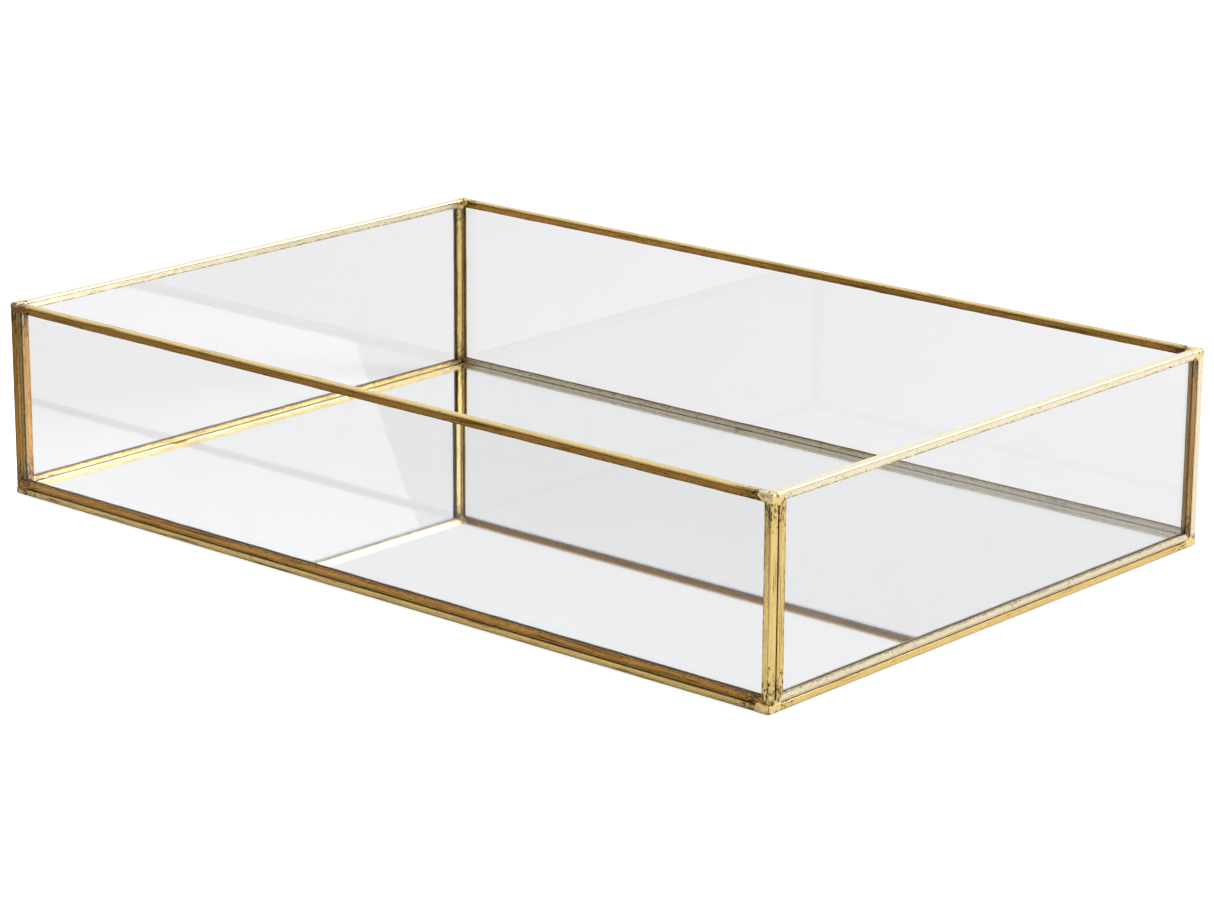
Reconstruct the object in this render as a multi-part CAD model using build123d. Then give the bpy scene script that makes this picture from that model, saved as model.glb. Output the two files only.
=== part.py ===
from build123d import *
import os

# A shallow open-topped display tray: four clear glass walls standing on a glass base.
# Every pane has its own frame of four folded brass channel strips, mitred at the corners.
# Solder ties the five framed panes together, and a mirror plate lies on the base between the
# walls. Four felt pads lift the tray off its table.
# Millimetres. Origin under the middle of the tray on the table, +X along the long walls,
# +Y to the back and +Z up.

# Driving dimensions
TRAY_LENGTH = 300.0
TRAY_WIDTH = 201.0
RIM_HEIGHT = 60.6  # from the underside of the base frame to the top of the rails
BRASS_GAUGE = 0.4
FOLD_RADIUS = 0.5  # outside radius of the two folds of a channel
WALL_GLASS = 2.0
BASE_GLASS = 1.5
MIRROR_GLASS = 1.3
MIRROR_SLACK = 0.35  # between the edge of the mirror plate and the walls
CHANNEL_LIP = 2.5  # how far a channel reaches over its glass, web included
EDGE_SLACK = 0.25  # between the edge of a pane and the web of its channel
SEAM_GAP = 0.5  # between the long walls and the ends of the short ones
SOLDER_PROUD = 0.3  # how far a soldered corner stands out from the brass
SOLDER_REACH = 3.0  # how far solder runs from the seam over each neighbour
SOLDER_RISE = 3.5  # how far solder runs along the upright corner
SOLDER_ROUND = 0.25
PAD_DIAMETER = 10.0
PAD_THICKNESS = 1.5
PAD_BORDER = 3.5  # between a pad and the lip of the base channel
PAD_CHAMFER = 0.2

# Worked-out sizes
WALL_THICKNESS = WALL_GLASS + 2 * BRASS_GAUGE
BASE_THICKNESS = BASE_GLASS + 2 * BRASS_GAUGE
BASE_BOTTOM = PAD_THICKNESS - BRASS_GAUGE
BASE_TOP = BASE_BOTTOM + BASE_THICKNESS
MIRROR_BOTTOM = BASE_TOP - BRASS_GAUGE
MIRROR_TOP = MIRROR_BOTTOM + MIRROR_GLASS
TRAY_TOP = BASE_BOTTOM + RIM_HEIGHT
WALL_HEIGHT = TRAY_TOP - BASE_TOP
HALF_LENGTH = TRAY_LENGTH / 2
HALF_WIDTH = TRAY_WIDTH / 2
SHORT_WALL = TRAY_WIDTH - 2 * (WALL_THICKNESS + SEAM_GAP)
INNER_LENGTH = TRAY_LENGTH - 2 * WALL_THICKNESS
INNER_WIDTH = TRAY_WIDTH - 2 * WALL_THICKNESS
PAD_INSET = CHANNEL_LIP + PAD_BORDER + PAD_DIAMETER / 2

SIDES_X = {"left": -1, "right": 1}
SIDES_Y = {"front": -1, "back": 1}


def channel_strip(run, thickness):
    """Folded channel with mitred ends: the web lies along X at Y = 0 and both lips rise along Y."""
    lip = CHANNEL_LIP
    outline = Polygon((0, 0), (run, 0), (run - lip, lip), (lip, lip), align=None)
    blank = extrude(outline, amount=thickness / 2, both=True)
    folds = blank.edges().filter_by(Axis.X).group_by(Axis.Y)[0]
    blank = fillet(folds, FOLD_RADIUS)
    inside = thickness - 2 * BRASS_GAUGE
    groove = Box(run, lip, inside, align=(Align.MIN, Align.MIN, Align.CENTER))
    return blank - Pos(0, BRASS_GAUGE, 0) * groove


def frame_strips(plane, run, rise, thickness, names):
    """The four strips round one pane, named from the bottom one and then on round the corners."""
    corners = [(0, 0), (run, 0), (run, rise), (0, rise)]
    strips = {}
    for turn, (name, corner) in enumerate(zip(names, corners)):
        strip = channel_strip((run, rise)[turn % 2], thickness)
        strips[name] = plane * Pos(*corner, 0) * Rot(0, 0, 90 * turn) * strip
    return strips


def pane(plane, run, rise, thickness):
    """A sheet of glass held in the channels, a little smaller than the space between their webs."""
    margin = BRASS_GAUGE + EDGE_SLACK
    sheet = Box(run - 2 * margin, rise - 2 * margin, thickness)
    return plane * Pos(run / 2, rise / 2, 0) * sheet


def wall_planes():
    """One plane for each wall, with its origin at a lower corner, X along the wall and Y up."""
    planes = {}
    for side, sign in SIDES_Y.items():
        corner = (-HALF_LENGTH, sign * (HALF_WIDTH - WALL_THICKNESS / 2), BASE_TOP)
        planes[side] = Plane(origin=corner, x_dir=(1, 0, 0), z_dir=(0, -1, 0))
    for side, sign in SIDES_X.items():
        corner = (sign * (HALF_LENGTH - WALL_THICKNESS / 2), -SHORT_WALL / 2, BASE_TOP)
        planes[side] = Plane(origin=corner, x_dir=(0, 1, 0), z_dir=(1, 0, 0))
    return planes


def wall_nodes():
    """The four walls, each a pane in its frame: long ones full length, short ones between them."""
    nodes = {}
    for side, plane in wall_planes().items():
        is_long = side in SIDES_Y
        run = TRAY_LENGTH if is_long else SHORT_WALL
        near_end, far_end = ("left", "right") if is_long else ("front", "back")
        names = [f"{side}_frame_{part}" for part in ("bottom", far_end, "top", near_end)]
        nodes[f"{side}_glass"] = pane(plane, run, WALL_HEIGHT, WALL_GLASS)
        nodes |= frame_strips(plane, run, WALL_HEIGHT, WALL_THICKNESS, names)
    return nodes


def base_nodes():
    """The base, a pane of glass in its frame, and the mirror plate that lies on it."""
    middle = BASE_BOTTOM + BASE_THICKNESS / 2
    plane = Plane(origin=(-HALF_LENGTH, -HALF_WIDTH, middle))
    names = [f"base_frame_{side}" for side in ("front", "right", "back", "left")]
    plate = Box(INNER_LENGTH - 2 * MIRROR_SLACK, INNER_WIDTH - 2 * MIRROR_SLACK, MIRROR_GLASS)
    nodes = {
        "base_glass": pane(plane, TRAY_LENGTH, TRAY_WIDTH, BASE_GLASS),
        "mirror_plate": Pos(0, 0, (MIRROR_BOTTOM + MIRROR_TOP) / 2) * plate,
    }
    nodes |= frame_strips(plane, TRAY_LENGTH, TRAY_WIDTH, BASE_THICKNESS, names)
    return nodes


def framed_space():
    """The blocks that the five framed panes and the mirror fill, which solder stays out of."""
    lowest = (Align.CENTER, Align.CENTER, Align.MIN)
    base = Pos(0, 0, BASE_BOTTOM) * Box(TRAY_LENGTH, TRAY_WIDTH, BASE_THICKNESS, align=lowest)
    mirror_room = Box(INNER_LENGTH, INNER_WIDTH, MIRROR_TOP - BASE_TOP, align=lowest)
    long_wall = Box(TRAY_LENGTH, WALL_THICKNESS, WALL_HEIGHT, align=lowest)
    short_wall = Box(WALL_THICKNESS, SHORT_WALL, WALL_HEIGHT, align=lowest)
    blocks = [base, Pos(0, 0, BASE_TOP) * mirror_room]
    for sign in (-1, 1):
        blocks.append(Pos(0, sign * (HALF_WIDTH - WALL_THICKNESS / 2), BASE_TOP) * long_wall)
        blocks.append(Pos(sign * (HALF_LENGTH - WALL_THICKNESS / 2), 0, BASE_TOP) * short_wall)
    return blocks


def soldered_corner(low, high):
    """Solder on the back right corner between two heights: a cap outside, and a web in the seam."""
    outer_x = HALF_LENGTH + SOLDER_PROUD
    outer_y = HALF_WIDTH + SOLDER_PROUD
    inner_x = HALF_LENGTH - WALL_THICKNESS
    inner_y = SHORT_WALL / 2
    footprint = Polygon(
        (outer_x, outer_y),
        (inner_x - SOLDER_REACH, outer_y),
        (inner_x - SOLDER_REACH, inner_y),
        (inner_x, inner_y),
        (inner_x, inner_y - SOLDER_REACH),
        (outer_x, inner_y - SOLDER_REACH),
        align=None,
    )
    block = Pos(0, 0, low) * extrude(footprint, amount=high - low)
    upright = block.edges().filter_by(Axis.Z).group_by(Axis.X)[-1].sort_by(Axis.Y)[-1]
    block = fillet(upright, FOLD_RADIUS + SOLDER_PROUD)
    outermost = block.faces().filter_by(Axis.X).sort_by(Axis.X)[-1]
    rim = outermost.edges().filter_by(Axis.Y).sort_by(Axis.Z)[-1]
    block = fillet(rim, SOLDER_ROUND)
    for space in framed_space():
        block -= space
    return block


def solder_nodes():
    """Eight soldered corners, one at the top and one at the foot of each upright seam."""
    levels = {
        "top": soldered_corner(TRAY_TOP - SOLDER_RISE, TRAY_TOP + SOLDER_PROUD),
        "bottom": soldered_corner(BASE_BOTTOM, BASE_TOP + SOLDER_RISE),
    }
    nodes = {}
    for level, corner in levels.items():
        for side_y in SIDES_Y:
            turned = corner if side_y == "back" else mirror(corner, about=Plane.XZ)
            for side_x in SIDES_X:
                placed = turned if side_x == "right" else mirror(turned, about=Plane.YZ)
                nodes[f"{level}_solder_{side_y}_{side_x}"] = placed
    return nodes


def pad_nodes():
    """Four felt discs stuck under the base glass, thick enough to clear its frame."""
    disc = Cylinder(PAD_DIAMETER / 2, PAD_THICKNESS, align=(Align.CENTER, Align.CENTER, Align.MIN))
    disc = chamfer(disc.edges().sort_by(Axis.Z)[0], PAD_CHAMFER)
    nodes = {}
    for side_y, sign_y in SIDES_Y.items():
        for side_x, sign_x in SIDES_X.items():
            x = sign_x * (HALF_LENGTH - PAD_INSET)
            y = sign_y * (HALF_WIDTH - PAD_INSET)
            nodes[f"felt_pad_{side_y}_{side_x}"] = Pos(x, y, 0) * disc
    return nodes


def main():
    os.makedirs("parts", exist_ok=True)
    nodes = wall_nodes() | base_nodes() | solder_nodes() | pad_nodes()
    for name, shape in nodes.items():
        export_step(shape, f"parts/{name}.step")


main()
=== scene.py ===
import math

import bmesh
import bpy
from bpy.props import FloatProperty, FloatVectorProperty, IntProperty, PointerProperty
from mathutils import Matrix, Vector, noise


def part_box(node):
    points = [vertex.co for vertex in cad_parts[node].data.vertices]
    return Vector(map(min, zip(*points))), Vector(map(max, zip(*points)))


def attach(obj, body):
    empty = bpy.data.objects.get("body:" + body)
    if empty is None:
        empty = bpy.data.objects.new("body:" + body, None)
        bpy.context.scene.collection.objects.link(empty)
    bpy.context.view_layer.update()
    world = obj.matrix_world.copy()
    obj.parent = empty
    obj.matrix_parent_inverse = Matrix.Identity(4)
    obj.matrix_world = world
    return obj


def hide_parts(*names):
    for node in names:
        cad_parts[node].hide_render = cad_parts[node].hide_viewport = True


bl_info = {
    "name": "Vanity tray",
    "version": (1, 0, 0),
    "blender": (4, 5, 0),
    "location": "3D View > Sidebar > Tray",
    "description": "Glass and brass dresser tray with a mirror floor, built round its CAD frame",
    "category": "Object",
}

# The frame holds every size and place. Metres, +X along the long walls, +Y to the back, +Z up.
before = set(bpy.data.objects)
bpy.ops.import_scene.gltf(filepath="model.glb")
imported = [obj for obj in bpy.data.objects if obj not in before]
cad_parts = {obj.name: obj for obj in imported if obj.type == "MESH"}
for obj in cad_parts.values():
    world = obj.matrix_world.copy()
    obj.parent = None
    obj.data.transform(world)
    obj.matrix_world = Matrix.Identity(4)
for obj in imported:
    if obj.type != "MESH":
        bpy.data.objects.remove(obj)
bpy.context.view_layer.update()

MM = 0.001
BODY = "root"
WALLS = ("front", "back", "left", "right")
PANES = {wall: f"{wall}_glass" for wall in WALLS} | {"base": "base_glass"}
STRIPS = {name: PANES[name.split("_")[0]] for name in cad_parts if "_frame_" in name}

# Where hands and cloths have kept the brass light. The strips in neither list have gone brown.
RUBBED = (
    "right_frame_top", "right_frame_bottom", "back_frame_bottom", "back_frame_right", "left_frame_top",
)
GOLDEN = (
    "back_frame_left", "base_frame_right", "left_frame_back", "left_frame_bottom", "front_frame_right",
    "right_frame_front",
)

# Sizes of the framed panes that the corners are worked to.
front_rail_low, front_rail_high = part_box("front_frame_top")
back_rail_low, back_rail_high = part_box("back_frame_top")
base_rail_low, base_rail_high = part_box("base_frame_front")
WALL_THICKNESS = front_rail_high.y - front_rail_low.y
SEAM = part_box("left_frame_top")[0].y - front_rail_high.y

# How solder lies on a corner.
LIP_END = 2.4 * MM  # where a lip gives way to glass, from the outside of its web
SOLDER_LUMP = 0.035 * MM
SOLDER_SINK = 0.12 * MM  # how deep the skin may dip into the brass
SOLDER_BURIED = 0.1 * MM  # a face that lies deeper than this is out of sight

# Noise on the brass sheet: cells per millimetre along and across a strip, detail and roughness.
SHEET_NOISE = {
    "streak": (0.05, 1.25, 5.0, 0.65),  # 20 mm by 0.8 mm
    "patch": (0.14, 0.5, 6.0, 0.7),  # 7 mm by 2 mm
    "roll": (0.33, 8.0, 2.0, 0.5),  # 3 mm by 0.12 mm
    "speck": (0.7, 1.6, 4.0, 0.75),  # 1.4 mm by 0.6 mm
}
SHEET_STEP = 411  # millimetres from one strip to the next, so that no two show the same pattern

# The sockets of a Mix node that blends two colours.
FACTOR, COLOUR_A, COLOUR_B, BLENDED = 0, 6, 7, 2


def from_hex(text):
    """Linear red, green and blue of an sRGB hex colour."""
    shares = [int(text[i:i + 2], 16) / 255 for i in (1, 3, 5)]
    return [s / 12.92 if s <= 0.04045 else ((s + 0.055) / 1.055) ** 2.4 for s in shares]


def colour_prop(name, description, text):
    return FloatVectorProperty(
        name=name, description=description, default=from_hex(text), subtype="COLOR", size=3, min=0, max=1
    )


def length_prop(name, description, millimetres):
    return FloatProperty(
        name=name, description=description, default=millimetres * MM, unit="LENGTH", subtype="DISTANCE"
    )


def angle_prop(name, description, degrees):
    return FloatProperty(
        name=name, description=description, default=math.radians(degrees), unit="ROTATION"
    )


class TrayStock(bpy.types.PropertyGroup):
    """What the brass, glass, solder and felt are worked to."""

    fold_radius: length_prop("Fold radius", "Outside radius of the folds of the channel", 0.5)
    fold_steps: IntProperty(name="Fold steps", description="Faces round each fold", default=5)
    station: length_prop("Station", "Spacing of the cross sections along a strip", 2.0)
    glass_air: length_prop("Glass air", "Air between the brass and the glass it grips", 0.02)
    mitre_gap: length_prop("Mitre gap", "Hairline gap left at each mitre, from each strip", 0.03)
    ripple: length_prop("Ripple", "How far a hand-folded lip waves along its run", 0.05)
    wander: length_prop("Wander", "How far the sheared edge of a lip wanders", 0.09)
    # How far the painted shade, with some grime, reaches from the seams and up the lower fold.
    grime_and_shade: length_prop("Grime", "How far dirt spreads from the seams and up the lower fold", 0.45)
    arris: length_prop("Arris", "Ground arris on the edges of a pane", 0.12)
    paint: length_prop("Paint", "Thickness of the paint behind the mirror", 0.08)
    solder_cell: length_prop("Solder cell", "Size of the faces of a solder skin", 0.25)
    solder_skin: length_prop("Solder skin", "Thickness of the solder skin", 0.15)
    solder_reach: length_prop("Solder reach", "How far solder runs from the seam over each rail", 2.2)
    solder_rise: length_prop("Solder rise", "How far solder runs along the upright corner", 2.7)
    solder_proud: length_prop("Solder proud", "How far solder stands out at the corner", 0.2)
    solder_round: length_prop("Solder round", "Radius that melting leaves on a soldered corner", 0.75)


class TrayFinish(bpy.types.PropertyGroup):
    """Colours of the materials."""

    clean_brass: colour_prop("Clean brass", "Brass where it is rubbed bright", "#F4D78C")
    aged_brass: colour_prop("Aged brass", "Brass with its usual golden tarnish", "#BE8E45")
    pale_brass: colour_prop("Pale brass", "Brass rubbed with a tinned cloth", "#F5E7C4")
    brown_brass: colour_prop("Brown brass", "Brass browned by the heat of soldering", "#93693A")
    # Also the colour of the painted shade beside the glass, in the seams and under the base frame.
    dark_brass: colour_prop("Dark brass", "Brass where flux and dirt have blackened it", "#4E2F14")
    flux: colour_prop("Flux", "Burnt flux left near the joints", "#3D342E")
    solder: colour_prop("Solder", "Tin solder after filing, yellowed by the brass", "#F1DFB2")
    solder_dark: colour_prop("Dark solder", "Solder stained brown by flux", "#8A6332")
    glass: colour_prop("Glass", "Tint of the float glass", "#FCFCFC")
    silver: colour_prop("Silver", "Silver film behind the mirror", "#F3F4F4")
    paint: colour_prop("Back paint", "Paint over the silver", "#8C8F90")
    felt: colour_prop("Felt", "Pressed wool of the pads", "#3A322C")
    floor: colour_prop("Floor", "Paper sweep under the tray", "#E3E3E4")


class TrayStage(bpy.types.PropertyGroup):
    """Where the camera stands."""

    azimuth: angle_prop("Azimuth", "Turn of the camera round the tray", 41.355)
    elevation: angle_prop("Elevation", "Height of the camera as an angle", 16.275)
    roll: angle_prop("Roll", "Roll of the camera", 0.299)
    lens: FloatProperty(name="Lens", description="Focal length in millimetres", default=119.28)
    distance: length_prop("Distance", "From the camera to its aim", 1213.6)
    aim: FloatVectorProperty(
        name="Aim", description="Point the camera looks at", default=(0.0041, 0.0006, 0.0217), unit="LENGTH"
    )


# ---------------------------------------------------------------- meshes

def finish_piece(bm, name, nodes, materials, smooth_angle=35):
    """Makes an object of bm that rides on the tray, stands for the nodes and takes the slot."""
    mesh = bpy.data.meshes.new(name)
    bm.to_mesh(mesh)
    bm.free()
    for face in mesh.polygons:
        face.use_smooth = True
    mesh.set_sharp_from_angle(angle=math.radians(smooth_angle))
    for material in materials:
        mesh.materials.append(material)
    piece = bpy.data.objects.new(name, mesh)
    bpy.context.scene.collection.objects.link(piece)
    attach(piece, BODY)
    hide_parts(*nodes)
    return piece


def block(bm, low, high):
    """A box between two corners. Returns its vertices."""
    low, high = Vector(low), Vector(high)
    place = Matrix.Translation((low + high) / 2) @ Matrix.Diagonal((*(high - low), 1))
    return bmesh.ops.create_cube(bm, size=1, matrix=place)["verts"]


def facing(bm, axis, sign):
    """The faces of bm whose normals lie along an axis, to one side."""
    bm.normal_update()
    return [f for f in bm.faces if f.normal[axis] * sign > 0.9]


def edges_along(bm, axis, test=lambda middle: True):
    """The edges of bm that lie along an axis and whose middle passes a test."""
    found = []
    for edge in bm.edges:
        run = edge.verts[1].co - edge.verts[0].co
        if abs(run[axis]) > 0.99 * run.length and test((edge.verts[0].co + edge.verts[1].co) / 2):
            found.append(edge)
    return found


def only_verts(geometry):
    return [g for g in geometry if isinstance(g, bmesh.types.BMVert)]


def soften(bm, edges, radius, segments):
    return bmesh.ops.bevel(
        bm, geom=edges, offset=radius, offset_type="OFFSET", affect="EDGES",
        segments=segments, profile=0.5, material=-1,
    )


def cut(bm, point, normal):
    """Cuts bm by a plane, drops what lies on the side the normal points to, and closes the cut."""
    geometry = bm.verts[:] + bm.edges[:] + bm.faces[:]
    bmesh.ops.bisect_plane(
        bm, geom=geometry, dist=1e-8, plane_co=point, plane_no=normal, clear_outer=True
    )
    open_edges = [e for e in bm.edges if e.is_boundary]
    bmesh.ops.holes_fill(bm, edges=open_edges, sides=0)


class StripFrame:
    """Where a strip lies: its run, the way its lips point, and the matrix from strip to tray."""

    def __init__(self, node):
        low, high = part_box(node)
        pane_low, pane_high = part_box(STRIPS[node])
        size, pane_size = high - low, pane_high - pane_low
        across = min(range(3), key=lambda i: pane_size[i])
        along = max(range(3), key=lambda i: size[i])
        inward = 3 - across - along
        side = 1 if (low + high)[inward] < (pane_low + pane_high)[inward] else -1
        self.run, self.lip, self.thickness = size[along], size[inward], size[across]
        self.gauge = (size[across] - pane_size[across]) / 2
        x_axis, y_axis = Vector((0, 0, 0)), Vector((0, 0, 0))
        x_axis[along], y_axis[inward] = 1, side
        z_axis = x_axis.cross(y_axis)
        corner = (low + high) / 2
        corner[along] = low[along]
        corner[inward] = low[inward] if side > 0 else high[inward]
        turn = Matrix((x_axis, y_axis, z_axis)).transposed().to_4x4()
        self.matrix = Matrix.Translation(corner) @ turn


def bare_channel(place, stock):
    """Sheet folded to a channel with mitred ends, in the strip's own frame, as a bmesh."""
    half = place.thickness / 2
    bm = bmesh.new()
    block(bm, (0, 0, -half), (place.run, place.lip, half))
    open_faces = facing(bm, 1, 1) + facing(bm, 0, 1) + facing(bm, 0, -1)
    bmesh.ops.delete(bm, geom=open_faces, context="FACES")
    folds = edges_along(bm, 0, lambda middle: middle.y < place.lip / 2)
    soften(bm, folds, stock.fold_radius, stock.fold_steps)
    bmesh.ops.recalc_face_normals(bm, faces=bm.faces[:])
    if facing(bm, 1, 1):
        bmesh.ops.reverse_faces(bm, faces=bm.faces[:])
    bmesh.ops.solidify(bm, geom=bm.faces[:], thickness=place.gauge - stock.glass_air)
    bmesh.ops.recalc_face_normals(bm, faces=bm.faces[:])
    bmesh.ops.subdivide_edges(bm, edges=edges_along(bm, 1), cuts=3, use_grid_fill=True)
    stations = max(2, round(place.run / stock.station))
    bmesh.ops.subdivide_edges(bm, edges=edges_along(bm, 0), cuts=stations, use_grid_fill=True)
    cut(bm, (stock.mitre_gap, 0, 0), Vector((-1, 1, 0)).normalized())
    cut(bm, (place.run - stock.mitre_gap, 0, 0), Vector((1, 1, 0)).normalized())
    return bm


def mark_sheet(bm, place, number):
    """Gives the faces inside the fold the second material, and writes for the brass where each
    vertex lies on its sheet and how far it is from the edge, the fold and the end, in millimetres."""
    half = place.thickness / 2
    for face in bm.faces:
        middle = face.calc_center_median()
        inside = abs(middle.z) < half - 0.6 * place.gauge and middle.y > 0.6 * place.gauge
        face.material_index = 1 if inside else 0
    sheet = bm.verts.layers.float_vector.new("sheet")
    to_edge = bm.verts.layers.float.new("to_edge")
    to_fold = bm.verts.layers.float.new("to_fold")
    to_end = bm.verts.layers.float.new("to_end")
    for v in bm.verts:
        x, y, z = v.co / MM
        on_web = y < place.gauge / MM
        v[sheet] = Vector((x + number * SHEET_STEP, y, z))
        v[to_edge] = place.lip / MM - y
        v[to_fold] = half / MM - abs(z) if on_web else min(y, half / MM - abs(z))
        v[to_end] = min(x, place.run / MM - x)


def hand_fold(bm, place, number, stock):
    """Waves the lips, wanders their sheared edges and dents the web, as work by hand leaves them."""
    seed = number * 7.31
    for v in bm.verts:
        x, y, z = v.co / MM
        out = 1 if z > 0 else -1
        reach = y / (place.lip / MM)
        wave = noise.noise(Vector((x / 17, out * 3.7, seed)))
        crease = noise.noise(Vector((x / 4.5, out * 5.1 + 9, seed)))
        lift = stock.ripple * reach * (0.5 + 0.8 * wave + 0.35 * crease)
        v.co.z += out * max(0.0, lift)
        shear = noise.noise(Vector((x / 9, out * 2.3 + 4, seed))) + 0.5 * crease
        v.co.y += stock.wander * shear * reach ** 3
        dent = noise.noise(Vector((x / 11, 1.7, seed + 3)))
        v.co.y += 0.4 * stock.ripple * max(0, dent) * (1 - reach) ** 2


def mark_grime_and_shade(bm, stock):
    """Writes how dark each vertex is painted near the open seams and the frame of the base: painted shade
    in the grooves and under the lower fold, with some grime.
    """
    grime_and_shade = bm.verts.layers.float.new("grime_and_shade")
    seam_middle = back_rail_low.y - SEAM / 2
    for v in bm.verts:
        away = [v.co.z - base_rail_low.z, abs(v.co.z - base_rail_high.z)]
        if abs(v.co.x) > front_rail_high.x - 1.5 * stock.grime_and_shade:
            away.append(abs(abs(v.co.y) - seam_middle))
        v[grime_and_shade] = max(0.0, min(0.85, 1.1 - min(away) / stock.grime_and_shade))


def folded_strip(node, number, stock):
    """One strip of channel in its place on the tray, as a bmesh."""
    place = StripFrame(node)
    bm = bare_channel(place, stock)
    mark_sheet(bm, place, number)
    hand_fold(bm, place, number, stock)
    bmesh.ops.transform(bm, matrix=place.matrix, verts=bm.verts[:])
    bmesh.ops.recalc_face_normals(bm, faces=bm.faces[:])
    # Painted shade, with some grime, in the seams and under the base frame.
    mark_grime_and_shade(bm, stock)
    return bm


def pane_block(node, stock):
    """A pane of glass with its sharp edges ground off."""
    bm = bmesh.new()
    block(bm, *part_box(node))
    soften(bm, bm.edges[:], stock.arris, 1)
    bmesh.ops.recalc_face_normals(bm, faces=bm.faces[:])
    return bm


def grow(bm, axis, test, distance):
    """Extrudes the face that looks down an axis, among those whose middle passes a test."""
    faces = [f for f in facing(bm, axis, -1) if test(f.calc_center_median())]
    made = bmesh.ops.extrude_face_region(bm, geom=faces)["geom"]
    bmesh.ops.delete(bm, geom=[f for f in faces if f.is_valid], context="FACES_ONLY")
    way = Vector((0, 0, 0))
    way[axis] = -distance
    bmesh.ops.translate(bm, vec=way, verts=only_verts(made))


def slice_up(bm, cell):
    """Cuts bm by planes a cell apart along all three axes."""
    for axis in range(3):
        coords = [v.co[axis] for v in bm.verts]
        low, high = min(coords), max(coords)
        steps = round((high - low) / cell)
        for i in range(1, steps):
            spot, way = Vector((0, 0, 0)), Vector((0, 0, 0))
            spot[axis] = low + (high - low) * i / steps
            way[axis] = 1
            geometry = bm.verts[:] + bm.edges[:] + bm.faces[:]
            bmesh.ops.bisect_plane(bm, geom=geometry, dist=1e-8, plane_co=spot, plane_no=way)


def solder_shell(top, stock):
    """The outside that solder covers on the back right corner, finely cut, with its tip at the
    origin."""
    reach, rise = stock.solder_reach, stock.solder_rise
    bm = bmesh.new()
    block(bm, (-WALL_THICKNESS, -WALL_THICKNESS, -1.5 * rise), (0, 0, 0))
    grow(bm, 0, lambda middle: True, 1.4 * reach)
    grow(bm, 1, lambda middle: middle.x > -WALL_THICKNESS, 1.4 * reach + SEAM)
    inner = [f for f in facing(bm, 0, -1) + facing(bm, 1, -1) if f.calc_center_median().z < 0]
    far = [f for f in inner if min(f.calc_center_median().xy) < -WALL_THICKNESS - SEAM - reach]
    drop = facing(bm, 2, -1) + (far if top else inner)
    bmesh.ops.delete(bm, geom=drop, context="FACES")
    crisp = [e for e in bm.edges if not e.is_boundary and e.calc_face_angle(0) > 0.5]
    soften(bm, crisp, stock.solder_round, 5)
    slice_up(bm, stock.solder_cell)
    bm.normal_update()
    return bm


def flood(bm, number, stock):
    """Swells the shell at the corner and dips it into the brass at its edge. Returns how far each
    vertex moved out."""
    seed = Vector((number * 13.7, number * 5.1, 0))
    lifts = {}
    thin = bm.verts.layers.float.new("thin")
    for v in bm.verts:
        along = max(0.0, -v.co.x - WALL_THICKNESS, -v.co.y - WALL_THICKNESS - SEAM)
        spread = math.hypot(along / stock.solder_reach, v.co.z / stock.solder_rise) ** 1.3
        spread += 0.35 * noise.noise(v.co / (1.3 * MM) + seed)
        lumps = noise.noise(v.co / (1.1 * MM) - seed)
        lift = stock.solder_proud * (1 - spread ** 2) + SOLDER_LUMP * lumps
        lifts[v] = max(-SOLDER_SINK, lift)
        v[thin] = min(1.0, max(0.0, spread))
    for v, lift in lifts.items():
        v.co += v.normal * lift
    return lifts


def trim(bm, lifts, top):
    """Drops what has sunk into the brass, and what hangs past a lip over the glass."""
    clear = LIP_END if top else LIP_END + (base_rail_high.z - base_rail_low.z)
    gone = []
    for face in bm.faces:
        middle = face.calc_center_median()
        sunk = all(lifts[v] < -SOLDER_BURIED for v in face.verts)
        on_long_wall = abs(face.normal.y) > abs(face.normal.x)
        past_x = middle.x < -LIP_END
        past_y = middle.y < -LIP_END - WALL_THICKNESS - SEAM
        over_glass = past_x if on_long_wall else past_y
        hung = over_glass and middle.z < -clear and abs(face.normal.z) < 0.5
        if sunk or hung:
            gone.append(face)
    bmesh.ops.delete(bm, geom=gone, context="FACES")


def solder_skin(level, side_y, side_x, number, stock):
    """Solder that has flooded over a corner, as a thin skin. It is made as the back right corner
    at the top, then flipped."""
    top = level == "top"
    bm = solder_shell(top, stock)
    trim(bm, flood(bm, number, stock), top)
    made = bmesh.ops.extrude_face_region(bm, geom=bm.faces[:], use_keep_orig=True)["geom"]
    for v in only_verts(made):
        v.co -= v.normal * stock.solder_skin
    height = front_rail_high.z if top else -base_rail_low.z
    bmesh.ops.translate(bm, vec=(front_rail_high.x, back_rail_high.y, height), verts=bm.verts[:])
    flip = (1 if side_x == "right" else -1, 1 if side_y == "back" else -1, 1 if top else -1)
    bmesh.ops.scale(bm, vec=flip, verts=bm.verts[:])
    bmesh.ops.recalc_face_normals(bm, faces=bm.faces[:])
    return bm


def felt_disc(node):
    """A punched disc of felt with a worn rim, a soft nap on top and a ragged edge."""
    low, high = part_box(node)
    radius, middle = (high.x - low.x) / 2, (low + high) / 2
    bm = bmesh.new()
    bmesh.ops.create_cone(
        bm, cap_ends=True, segments=48, radius1=radius, radius2=radius, depth=high.z - low.z,
        matrix=Matrix.Translation(middle),
    )
    rims = [e for e in bm.edges if abs(e.verts[0].co.z - e.verts[1].co.z) < 1e-6]
    soften(bm, rims, 0.25 * MM, 3)
    caps = [f for f in bm.faces if len(f.verts) > 4]
    for _ in range(4):
        bmesh.ops.inset_region(bm, faces=caps, thickness=radius / 6)
    for v in bm.verts:
        v.co.z += 0.03 * MM * noise.noise(v.co / (1.5 * MM)) if v.co.z > middle.z else 0
        ragged = 1 + 0.01 * noise.noise(v.co / (0.8 * MM))
        v.co.xy = middle.xy + (v.co.xy - middle.xy) * ragged
    return bm


# ---------------------------------------------------------------- materials

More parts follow.
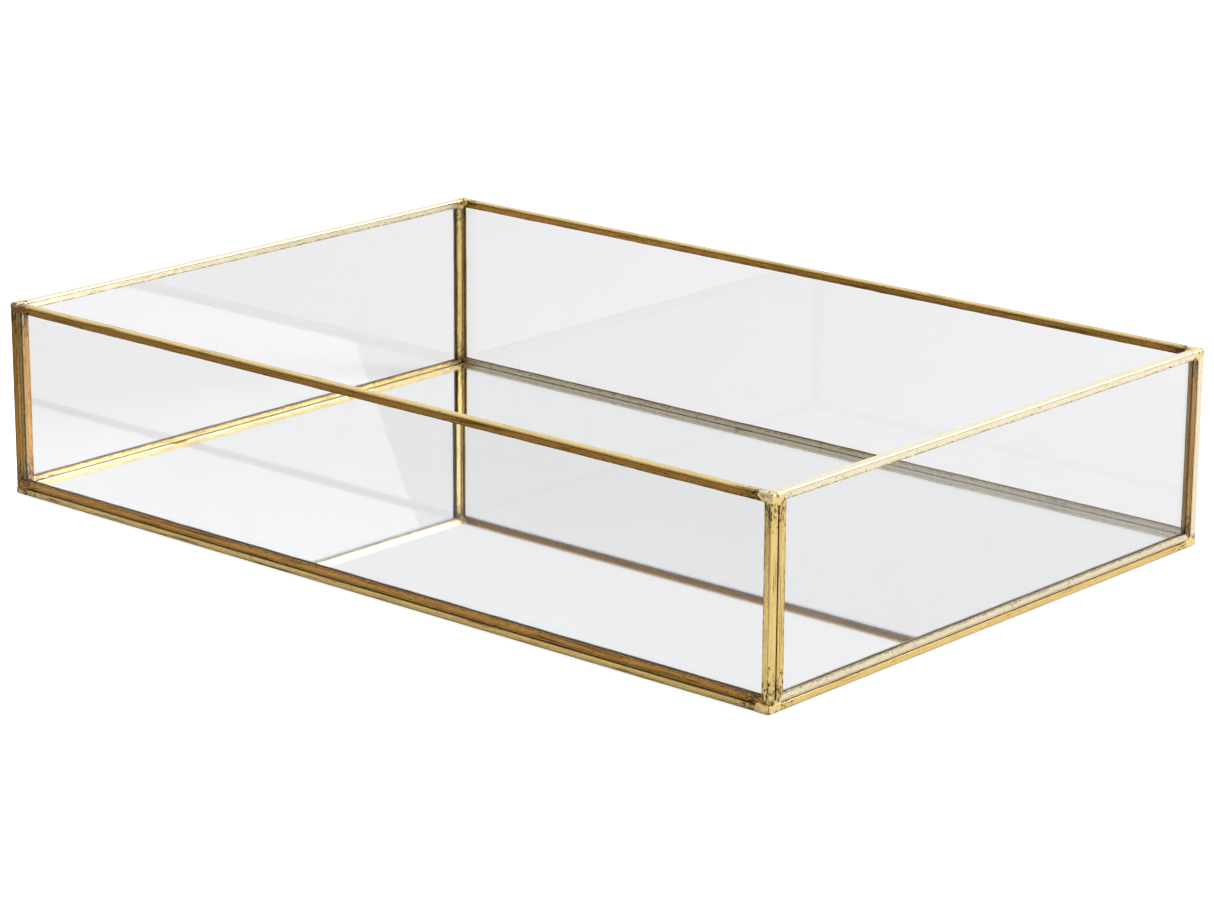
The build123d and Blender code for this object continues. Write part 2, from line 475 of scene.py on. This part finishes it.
def add_node(tree, kind, inputs=None, **settings):
    """Adds a node. An input that is given a socket is linked to it, and any other is set."""
    made = tree.nodes.new(kind)
    for name, value in settings.items():
        setattr(made, name, value)
    for name, value in (inputs or {}).items():
        if isinstance(value, bpy.types.NodeSocket):
            tree.links.new(value, made.inputs[name])
        else:
            made.inputs[name].default_value = value
    return made


def new_material(name):
    """A material with an empty tree and its output node."""
    material = bpy.data.materials.new(name)
    material.use_nodes = True
    material.node_tree.nodes.clear()
    output = material.node_tree.nodes.new("ShaderNodeOutputMaterial")
    return material, material.node_tree, output


def rgba(colour, share=1):
    """A colour for a socket, darkened to a share of itself."""
    return (*[c * share for c in colour], 1)


def sheet_readings(tree):
    """What a strip's brass goes by: its distances in millimetres, its painted seam shade and grime, and its
    noises.
    """
    read = {}
    for name in ("to_edge", "to_fold", "to_end", "grime_and_shade"):
        read[name] = add_node(tree, "ShaderNodeAttribute", attribute_name=name).outputs["Fac"]
    sheet = add_node(tree, "ShaderNodeAttribute", attribute_name="sheet").outputs["Vector"]
    for name, (along, across, detail, roughness) in SHEET_NOISE.items():
        place = add_node(tree, "ShaderNodeMapping", {"Vector": sheet, "Scale": (along, across, across)})
        grain = {"Vector": place.outputs[0], "Scale": 1.0, "Detail": detail, "Roughness": roughness}
        read[name] = add_node(tree, "ShaderNodeTexNoise", grain).outputs[0]
    age = add_node(tree, "ShaderNodeMath", {0: read["streak"], 1: read["patch"]}, operation="ADD")
    rub = add_node(
        tree, "ShaderNodeMath", {0: read["streak"], 1: 0.5, 2: read["to_edge"]}, operation="MULTIPLY_ADD"
    )
    return read | {"age": age.outputs[0], "rub": rub.outputs[0]}


def tarnish(tree, read, level, rubbed, clean, aged):
    """The colour of the brass under its dirt and painted shade. It is aged in streaks and patches, and less
    so on its folds, which is partly wear and partly a painted highlight."""
    aging = add_node(
        tree, "ShaderNodeMapRange",
        {"Value": read["age"], "From Min": 1.12 - level, "From Max": 1.38 - level},
        interpolation_type="SMOOTHSTEP",
    )
    # Lighter towards the folds: partly wear, partly a painted highlight.
    worn_and_highlit = add_node(
        tree, "ShaderNodeMapRange",
        {"Value": read["to_fold"], "From Min": 0.05, "From Max": 0.4, "To Min": 0.3, "To Max": 1.0},
        interpolation_type="SMOOTHSTEP",
    )
    share = add_node(
        tree, "ShaderNodeMath", {0: aging.outputs[0], 1: worn_and_highlit.outputs[0]}, operation="MULTIPLY"
    )
    lip = add_node(
        tree, "ShaderNodeMix",
        {FACTOR: share.outputs[0], COLOUR_A: rgba(clean), COLOUR_B: rgba(aged)},
        data_type="RGBA",
    )
    # The web of the channel, 2 mm and more from the edge of its lips, is rubbed bright in use.
    web = add_node(
        tree, "ShaderNodeMapRange",
        {"Value": read["rub"], "From Min": 2.15, "From Max": 2.45, "To Max": 0.75},
        interpolation_type="SMOOTHSTEP",
    )
    hue = add_node(
        tree, "ShaderNodeMix",
        {FACTOR: web.outputs[0], COLOUR_A: lip.outputs[BLENDED], COLOUR_B: rgba(rubbed)},
        data_type="RGBA",
    )
    return hue.outputs[BLENDED]


def dirt_and_shade_share(tree, read, level):
    """How dark the brass is made: painted shade with some dirt beside the glass, dirt in streaks and
    specks, and a dark line at the fold.
    """
    # Painted shade, with some dirt, lies in the last half millimetre beside the glass, with a ragged
    # border.
    ragged = add_node(
        tree, "ShaderNodeMath", {0: read["speck"], 1: -2.2, 2: read["to_edge"]}, operation="MULTIPLY_ADD"
    )
    crease = add_node(
        tree, "ShaderNodeMapRange",
        {"Value": ragged.outputs[0], "From Min": -1.0, "From Max": -0.65, "To Min": 0.6, "To Max": 0.0},
        interpolation_type="SMOOTHSTEP",
    )
    streaks = add_node(
        tree, "ShaderNodeMapRange",
        {
            "Value": read["streak"], "From Min": 0.62 - 0.25 * level, "From Max": 0.74 - 0.25 * level,
            "To Max": 0.75,
        },
        interpolation_type="SMOOTHSTEP",
    )
    specks = add_node(
        tree, "ShaderNodeMapRange", {"Value": read["speck"], "From Min": 0.61, "From Max": 0.67},
        interpolation_type="SMOOTHSTEP",
    )
    # A dark line 0.2 mm wide is painted where the fold meets the lip.
    brake = add_node(tree, "ShaderNodeMath", {0: read["rub"], 1: 2.06, 2: 0.1}, operation="COMPARE")
    line = add_node(tree, "ShaderNodeMath", {0: brake.outputs[0], 1: 0.4 + level}, operation="MULTIPLY")
    darkest = crease
    for other in (line, specks, streaks):
        darkest = add_node(
            tree, "ShaderNodeMath", {0: darkest.outputs[0], 1: other.outputs[0]}, operation="MAXIMUM"
        )
    return darkest.outputs[0]


def flux_share(tree, read, level):
    """How much burnt flux lies on the brass. It boils out of a joint and burns within 18 mm of it."""
    near = add_node(
        tree, "ShaderNodeMapRange",
        {
            "Value": read["to_end"], "From Min": 3.0, "From Max": 18.0,
            "To Min": 0.08 + 0.42 * level, "To Max": 0.0,
        },
        interpolation_type="SMOOTHSTEP",
    )
    boiled = add_node(tree, "ShaderNodeMath", {0: read["speck"], 1: near.outputs[0]}, operation="ADD")
    burnt = add_node(
        tree, "ShaderNodeMapRange",
        {
            "Value": boiled.outputs[0], "From Min": 0.68 - 0.1 * level, "From Max": 0.76 - 0.1 * level,
            "To Max": 0.85,
        },
        interpolation_type="SMOOTHSTEP",
    )
    return burnt.outputs[0]


def raw_brass(name, level, rubbed, clean, aged, finish):
    """Rolled brass sheet left raw. It was folded, soldered and wiped with acid flux, so it is streaked
    along its length, brown in patches and stained near its joints. It is darkened by painted shade with
    some dirt beside the glass, in the seams and under the base frame, and lighter on its folds, partly from
    wear and partly as a painted highlight. The level runs from 0 for clean to 0.4 for brown."""
    material, tree, output = new_material(name)
    read = sheet_readings(tree)
    colour = tarnish(tree, read, level, rubbed, clean, aged)
    coats = (
        # Painted shade with some dirt beside the glass, dirt in streaks and specks, and a dark line at the
        # fold.
        (dirt_and_shade_share(tree, read, level), rgba(finish.dark_brass)),
        (flux_share(tree, read, level), rgba(finish.flux)),
        # Painted shade, with some grime, in the seams and under the base frame.
        (read["grime_and_shade"], rgba(finish.dark_brass, 0.8)),
    )
    for share, coat in coats:
        mix = add_node(
            tree, "ShaderNodeMix", {FACTOR: share, COLOUR_A: colour, COLOUR_B: coat}, data_type="RGBA"
        )
        colour = mix.outputs[BLENDED]
    rough = add_node(
        tree, "ShaderNodeMapRange",
        {"Value": read["age"], "From Min": 0.7, "From Max": 1.4, "To Min": 0.2, "To Max": 0.42},
    )
    rolled = add_node(
        tree, "ShaderNodeBump", {"Height": read["roll"], "Strength": 0.35, "Distance": 0.02 * MM}
    )
    dented = add_node(
        tree, "ShaderNodeBump",
        {"Height": read["patch"], "Strength": 0.5, "Distance": 0.1 * MM, "Normal": rolled.outputs[0]},
    )
    shader = add_node(tree, "ShaderNodeBsdfPrincipled", {
        "Base Color": colour, "Metallic": 1.0, "Roughness": rough.outputs[0], "Normal": dented.outputs[0],
    })
    tree.links.new(shader.outputs[0], output.inputs[0])
    return material


def fluxed_brass(finish):
    """Brass inside a fold, where the glass keeps it from the air. It stays pale, with a dry
    film of flux in runs that yellows it."""
    material, tree, output = new_material("fluxed_brass")
    sheet = add_node(tree, "ShaderNodeAttribute", attribute_name="sheet").outputs["Vector"]
    # Millimetres on the sheet: runs of film 6 by 1.5.
    place = add_node(tree, "ShaderNodeMapping", {"Vector": sheet, "Scale": (0.17, 0.7, 0.7)})
    film = add_node(
        tree, "ShaderNodeTexNoise",
        {"Vector": place.outputs[0], "Scale": 1.0, "Detail": 5.0, "Roughness": 0.7},
    )
    share = add_node(
        tree, "ShaderNodeMapRange", {"Value": film.outputs[0], "From Min": 0.4, "From Max": 0.62},
        interpolation_type="SMOOTHSTEP",
    )
    colour = add_node(
        tree, "ShaderNodeMix",
        {FACTOR: share.outputs[0], COLOUR_A: rgba(finish.pale_brass), COLOUR_B: rgba(finish.clean_brass)},
        data_type="RGBA",
    )
    bump = add_node(
        tree, "ShaderNodeBump", {"Height": film.outputs[0], "Strength": 0.4, "Distance": 0.1 * MM}
    )
    shader = add_node(tree, "ShaderNodeBsdfPrincipled", {
        "Base Color": colour.outputs[BLENDED], "Metallic": 1.0, "Roughness": 0.22,
        "Normal": bump.outputs[0],
    })
    tree.links.new(shader.outputs[0], output.inputs[0])
    return material


def float_glass(finish):
    """Clear float glass. Both faces are as flat and smooth as they come, and the tint is faint."""
    material, tree, output = new_material("float_glass")
    place = add_node(tree, "ShaderNodeTexCoord").outputs["Object"]
    # A cloth leaves faint smears about 30 mm across.
    smear = add_node(tree, "ShaderNodeTexNoise", {"Vector": place, "Scale": 33.0, "Detail": 3.0})
    tint = add_node(
        tree, "ShaderNodeMix",
        {FACTOR: smear.outputs[0], COLOUR_A: rgba(finish.glass), COLOUR_B: rgba(finish.glass, 0.985)},
        data_type="RGBA",
    )
    shader = add_node(tree, "ShaderNodeBsdfPrincipled", {
        "Base Color": tint.outputs[BLENDED], "Roughness": 0.0, "IOR": 1.5, "Transmission Weight": 1.0,
    })
    tree.links.new(shader.outputs[0], output.inputs[0])
    return material


def silver_film(finish):
    """Silver laid on the back of the glass. It has the glass's own finish, so it mirrors cleanly."""
    material, tree, output = new_material("silver_film")
    place = add_node(tree, "ShaderNodeTexCoord").outputs["Object"]
    # Clouds about 80 mm across, almost too faint to see.
    cloud = add_node(tree, "ShaderNodeTexNoise", {"Vector": place, "Scale": 12.0, "Detail": 2.0})
    tint = add_node(
        tree, "ShaderNodeMix",
        {FACTOR: cloud.outputs[0], COLOUR_A: rgba(finish.silver), COLOUR_B: rgba(finish.silver, 0.99)},
        data_type="RGBA",
    )
    shader = add_node(
        tree, "ShaderNodeBsdfPrincipled",
        {"Base Color": tint.outputs[BLENDED], "Metallic": 1.0, "Roughness": 0.0},
    )
    tree.links.new(shader.outputs[0], output.inputs[0])
    return material


def back_paint(finish):
    """Two coats of rolled lacquer over the silver, with a fine orange peel 2 mm across."""
    material, tree, output = new_material("back_paint")
    place = add_node(tree, "ShaderNodeTexCoord").outputs["Object"]
    peel = add_node(tree, "ShaderNodeTexNoise", {"Vector": place, "Scale": 500.0, "Detail": 2.0})
    tone = add_node(
        tree, "ShaderNodeMix",
        {FACTOR: peel.outputs[0], COLOUR_A: rgba(finish.paint), COLOUR_B: rgba(finish.paint, 0.9)},
        data_type="RGBA",
    )
    bump = add_node(
        tree, "ShaderNodeBump", {"Height": peel.outputs[0], "Strength": 0.4, "Distance": 0.05 * MM}
    )
    shader = add_node(
        tree, "ShaderNodeBsdfPrincipled",
        {"Base Color": tone.outputs[BLENDED], "Roughness": 0.45, "Normal": bump.outputs[0]},
    )
    tree.links.new(shader.outputs[0], output.inputs[0])
    return material


def tin_solder(name, dark_share, edge, finish):
    """Tin solder, melted on with acid flux and filed back. It is pale and satin, with pits 0.7 mm
    across and brown stains 2 mm across where the flux was not washed off."""
    material, tree, output = new_material(name)
    place = add_node(tree, "ShaderNodeTexCoord").outputs["Object"]
    stain = add_node(
        tree, "ShaderNodeTexNoise", {"Vector": place, "Scale": 520.0, "Detail": 4.0, "Roughness": 0.65}
    )
    pits = add_node(tree, "ShaderNodeTexNoise", {"Vector": place, "Scale": 1500.0, "Detail": 3.0})
    dark = add_node(
        tree, "ShaderNodeMapRange",
        {"Value": stain.outputs[0], "From Min": 0.66 - dark_share, "From Max": 0.78 - dark_share},
        interpolation_type="SMOOTHSTEP",
    )
    tin = add_node(
        tree, "ShaderNodeMix",
        {FACTOR: dark.outputs[0], COLOUR_A: rgba(finish.solder), COLOUR_B: rgba(finish.solder_dark)},
        data_type="RGBA",
    )
    # Where the skin thins out the brass shows through.
    thin = add_node(tree, "ShaderNodeAttribute", attribute_name="thin").outputs["Fac"]
    wobble = add_node(
        tree, "ShaderNodeMath", {0: stain.outputs[0], 1: 0.9, 2: thin}, operation="MULTIPLY_ADD"
    )
    bare = add_node(
        tree, "ShaderNodeMapRange", {"Value": wobble.outputs[0], "From Min": 0.65, "From Max": 1.15},
        interpolation_type="SMOOTHSTEP",
    )
    colour = add_node(
        tree, "ShaderNodeMix",
        {FACTOR: bare.outputs[0], COLOUR_A: tin.outputs[BLENDED], COLOUR_B: rgba(edge)},
        data_type="RGBA",
    )
    rough = add_node(
        tree, "ShaderNodeMapRange", {"Value": pits.outputs[0], "To Min": 0.2, "To Max": 0.42}
    )
    bump = add_node(
        tree, "ShaderNodeBump", {"Height": pits.outputs[0], "Strength": 0.5, "Distance": 0.06 * MM}
    )
    shader = add_node(tree, "ShaderNodeBsdfPrincipled", {
        "Base Color": colour.outputs[BLENDED], "Metallic": 1.0, "Roughness": rough.outputs[0],
        "Normal": bump.outputs[0],
    })
    tree.links.new(shader.outputs[0], output.inputs[0])
    return material


def wool_felt(finish):
    """Pressed wool felt: matt, with a nap of tangled fibres about 0.3 mm across."""
    material, tree, output = new_material("wool_felt")
    place = add_node(tree, "ShaderNodeTexCoord").outputs["Object"]
    fibre = add_node(
        tree, "ShaderNodeTexNoise", {"Vector": place, "Scale": 3300.0, "Detail": 4.0, "Distortion": 1.2}
    )
    tone = add_node(
        tree, "ShaderNodeMix",
        {FACTOR: fibre.outputs[0], COLOUR_A: rgba(finish.felt, 0.6), COLOUR_B: rgba(finish.felt, 1.6)},
        data_type="RGBA",
    )
    bump = add_node(
        tree, "ShaderNodeBump", {"Height": fibre.outputs[0], "Strength": 0.9, "Distance": 0.2 * MM}
    )
    shader = add_node(tree, "ShaderNodeBsdfPrincipled", {
        "Base Color": tone.outputs[BLENDED], "Roughness": 0.95, "Sheen Weight": 0.4,
        "Normal": bump.outputs[0],
    })
    tree.links.new(shader.outputs[0], output.inputs[0])
    return material


# ---------------------------------------------------------------- operators

class TRAY_OT_glass(bpy.types.Operator):
    """Set the five clear panes"""

    bl_idname = "tray.glass"
    bl_label = "Clear glass"

    def execute(self, context):
        stock, finish = context.scene.tray_stock, context.scene.tray_finish
        glass = float_glass(finish)
        for side, node in PANES.items():
            pane = finish_piece(pane_block(node, stock), f"{side}_pane", [node], [glass])
            pane.visible_shadow = False
        return {"FINISHED"}


class TRAY_OT_mirror(bpy.types.Operator):
    """Lay the mirror with its silver and its back paint"""

    bl_idname = "tray.mirror"
    bl_label = "Mirror"

    def execute(self, context):
        stock, finish = context.scene.tray_stock, context.scene.tray_finish
        low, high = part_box("mirror_plate")
        bm = bmesh.new()
        block(bm, low + Vector((0, 0, stock.paint)), high)
        soften(bm, bm.edges[:], stock.arris, 1)
        bmesh.ops.recalc_face_normals(bm, faces=bm.faces[:])
        for face in facing(bm, 2, -1):
            face.material_index = 1
        glass = bpy.data.materials["float_glass"]
        finish_piece(bm, "mirror_plate_glass", ["mirror_plate"], [glass, silver_film(finish)])
        bm = bmesh.new()
        seat = Vector((0, 0, 0.01 * MM))
        block(bm, low + seat, Vector((high.x, high.y, low.z + stock.paint)) - seat)
        soften(bm, edges_along(bm, 2), stock.arris, 1)
        finish_piece(bm, "mirror_back_paint", ["mirror_plate"], [back_paint(finish)])
        return {"FINISHED"}


class TRAY_OT_channel(bpy.types.Operator):
    """Fold the twenty strips of brass channel"""

    bl_idname = "tray.channel"
    bl_label = "Brass channel"

    def execute(self, context):
        stock, finish = context.scene.tray_stock, context.scene.tray_finish
        clean, aged, pale = finish.clean_brass, finish.aged_brass, finish.pale_brass
        brown_brass = raw_brass("brown_brass", 0.32, clean, aged, finish.brown_brass, finish)
        gold_brass = raw_brass("gold_brass", 0.25, clean, clean, aged, finish)
        pale_brass = raw_brass("pale_brass", 0.04, pale, pale, aged, finish)
        inside = fluxed_brass(finish)
        for number, node in enumerate(sorted(STRIPS)):
            bm = folded_strip(node, number, stock)
            outside = pale_brass if node in RUBBED else gold_brass if node in GOLDEN else brown_brass
            finish_piece(bm, node.replace("_frame_", "_channel_"), [node], [outside, inside])
        return {"FINISHED"}


class TRAY_OT_solder(bpy.types.Operator):
    """Flood the eight corners with solder"""

    bl_idname = "tray.solder"
    bl_label = "Solder"

    def execute(self, context):
        stock, finish = context.scene.tray_stock, context.scene.tray_finish
        bright = tin_solder("tin_solder", 0.17, finish.clean_brass, finish)
        stained = tin_solder("stained_solder", 0.24, finish.brown_brass, finish)
        number = 0
        for level in ("top", "bottom"):
            for side_y in ("front", "back"):
                for side_x in ("left", "right"):
                    number += 1
                    bm = solder_skin(level, side_y, side_x, number, stock)
                    node = f"{level}_solder_{side_y}_{side_x}"
                    tin = stained if (side_y, side_x) == ("front", "left") else bright
                    finish_piece(bm, f"solder_{level}_{side_y}_{side_x}", [node], [tin], 60)
        return {"FINISHED"}


class TRAY_OT_pads(bpy.types.Operator):
    """Stick on the four felt pads"""

    bl_idname = "tray.pads"
    bl_label = "Felt pads"

    def execute(self, context):
        felt = wool_felt(context.scene.tray_finish)
        for node in [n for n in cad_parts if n.startswith("felt_pad_")]:
            finish_piece(felt_disc(node), node.replace("felt_pad", "pad"), [node], [felt])
        return {"FINISHED"}


class TRAY_OT_stage(bpy.types.Operator):
    """Set the floor, the light and the camera"""

    bl_idname = "tray.stage"
    bl_label = "Stage"

    def execute(self, context):
        scene = context.scene
        scene.view_settings.view_transform = "Standard"
        self.floor(scene, scene.tray_finish)
        self.world(scene)
        self.lights(scene)
        self.camera(scene, scene.tray_stage)
        return {"FINISHED"}

    def floor(self, scene, finish):
        material, tree, output = new_material("paper_sweep")
        # The paper in front of the tray is in shade, which darkens the brass and glass facing it.
        place = add_node(tree, "ShaderNodeTexCoord").outputs["Object"]
        back = add_node(
            tree, "ShaderNodeVectorMath", {0: place, 1: (0.2, 0.98, 0.0)}, operation="DOT_PRODUCT"
        )
        shade = add_node(
            tree, "ShaderNodeMapRange",
            {
                "Value": back.outputs["Value"], "From Min": -0.24, "From Max": -0.12,
                "To Min": 0.55, "To Max": 1.0,
            },
            interpolation_type="SMOOTHSTEP",
        )
        tone = add_node(
            tree, "ShaderNodeMix",
            {FACTOR: shade.outputs[0], COLOUR_A: (0, 0, 0, 1), COLOUR_B: rgba(finish.floor)},
            data_type="RGBA",
        )
        paper = add_node(tree, "ShaderNodeBsdfDiffuse", {"Color": tone.outputs[BLENDED]})
        # Seen straight, the paper is lit up to white. Reflected or through glass it is grey.
        glow = add_node(tree, "ShaderNodeEmission", {"Color": (1, 1, 1, 1), "Strength": 0.9})
        washed = add_node(tree, "ShaderNodeAddShader", {0: paper.outputs[0], 1: glow.outputs[0]})
        straight = add_node(tree, "ShaderNodeLightPath").outputs["Is Camera Ray"]
        shown = add_node(
            tree, "ShaderNodeMixShader", {0: straight, 1: paper.outputs[0], 2: washed.outputs[0]}
        )
        tree.links.new(shown.outputs[0], output.inputs[0])
        bm = bmesh.new()
        bmesh.ops.create_grid(bm, x_segments=1, y_segments=1, size=4)
        mesh = bpy.data.meshes.new("floor")
        bm.to_mesh(mesh)
        bm.free()
        mesh.materials.append(material)
        floor = bpy.data.objects.new("floor", mesh)
        scene.collection.objects.link(floor)

    def world(self, scene):
        world = bpy.data.worlds.new("studio")
        scene.world = world
        world.use_nodes = True
        tree = world.node_tree
        tree.nodes.clear()
        output = tree.nodes.new("ShaderNodeOutputWorld")
        way = add_node(tree, "ShaderNodeTexCoord").outputs["Generated"]
        # The room is bright behind and above the tray and dim in front of it.
        back = add_node(
            tree, "ShaderNodeVectorMath", {0: way, 1: (0.1, 0.98, 0.35)}, operation="DOT_PRODUCT"
        )
        share = add_node(
            tree, "ShaderNodeMapRange",
            {
                "Value": back.outputs["Value"], "From Min": -0.5, "From Max": 0.45,
                "To Min": 0.53, "To Max": 1.05,
            },
            interpolation_type="SMOOTHSTEP",
        )
        room = add_node(
            tree, "ShaderNodeBackground", {"Color": (0.99, 0.992, 1, 1), "Strength": share.outputs[0]}
        )
        plain = add_node(tree, "ShaderNodeBackground", {"Color": (1, 1, 1, 1), "Strength": 1.0})
        straight = add_node(tree, "ShaderNodeLightPath").outputs["Is Camera Ray"]
        shown = add_node(
            tree, "ShaderNodeMixShader", {0: straight, 1: room.outputs[0], 2: plain.outputs[0]}
        )
        tree.links.new(shown.outputs[0], output.inputs[0])

    def lights(self, scene):
        """A key light on the back right, and a broad low one whose edge shows in the left pane."""
        self.soft_box(scene, "key_box", (1.2, 1.0, 1.15), (0.1, 0.1, 0.0), (0.9, 0.9), 7.0, 0.0)
        self.soft_box(scene, "low_box", (3.01, 1.98, 1.75), (0.0, 0.0, 0.05), (2.2, 2.0), 1.32, -13.7)

    def soft_box(self, scene, name, place, aim, size, radiance, roll):
        lamp = bpy.data.lights.new(name, "AREA")
        lamp.shape = "RECTANGLE"
        lamp.size, lamp.size_y = size
        lamp.energy = radiance * math.pi * size[0] * size[1]
        lamp_object = bpy.data.objects.new(name, lamp)
        lamp_object.location = place
        turn = (Vector(aim) - Vector(place)).to_track_quat("-Z", "Y").to_matrix()
        lamp_object.rotation_euler = (turn @ Matrix.Rotation(math.radians(roll), 3, "Z")).to_euler()
        lamp_object.visible_camera = False
        scene.collection.objects.link(lamp_object)

    def camera(self, scene, stage):
        camera = bpy.data.cameras.new("camera")
        camera.lens, camera.sensor_width = stage.lens, 36
        camera.clip_start = 0.01
        eye = bpy.data.objects.new("camera", camera)
        turn = Matrix.Rotation(stage.azimuth, 4, "Z")
        turn = turn @ Matrix.Rotation(math.pi / 2 - stage.elevation, 4, "X")
        turn = turn @ Matrix.Rotation(stage.roll, 4, "Z")
        back = turn @ Vector((0, 0, stage.distance))
        eye.matrix_world = Matrix.Translation(Vector(stage.aim) + back) @ turn
        scene.collection.objects.link(eye)
        scene.camera = eye


OPERATORS = (
    TRAY_OT_glass, TRAY_OT_mirror, TRAY_OT_channel, TRAY_OT_solder, TRAY_OT_pads, TRAY_OT_stage,
)


class TRAY_PT_sidebar(bpy.types.Panel):
    """One button for each step of building the tray"""

    bl_idname = "TRAY_PT_sidebar"
    bl_label = "Vanity tray"
    bl_space_type = "VIEW_3D"
    bl_region_type = "UI"
    bl_category = "Tray"

    def draw(self, context):
        for operator in OPERATORS:
            self.layout.operator(operator.bl_idname)


CLASSES = (TrayStock, TrayFinish, TrayStage, *OPERATORS, TRAY_PT_sidebar)


def register():
    for cls in CLASSES:
        bpy.utils.register_class(cls)
    bpy.types.Scene.tray_stock = PointerProperty(type=TrayStock)
    bpy.types.Scene.tray_finish = PointerProperty(type=TrayFinish)
    bpy.types.Scene.tray_stage = PointerProperty(type=TrayStage)


def unregister():
    del bpy.types.Scene.tray_stage
    del bpy.types.Scene.tray_finish
    del bpy.types.Scene.tray_stock
    for cls in reversed(CLASSES):
        bpy.utils.unregister_class(cls)


def main():
    register()
    for operator in OPERATORS:
        group, name = operator.bl_idname.split(".")
        getattr(getattr(bpy.ops, group), name)()


if __name__ == "__main__":
    main()
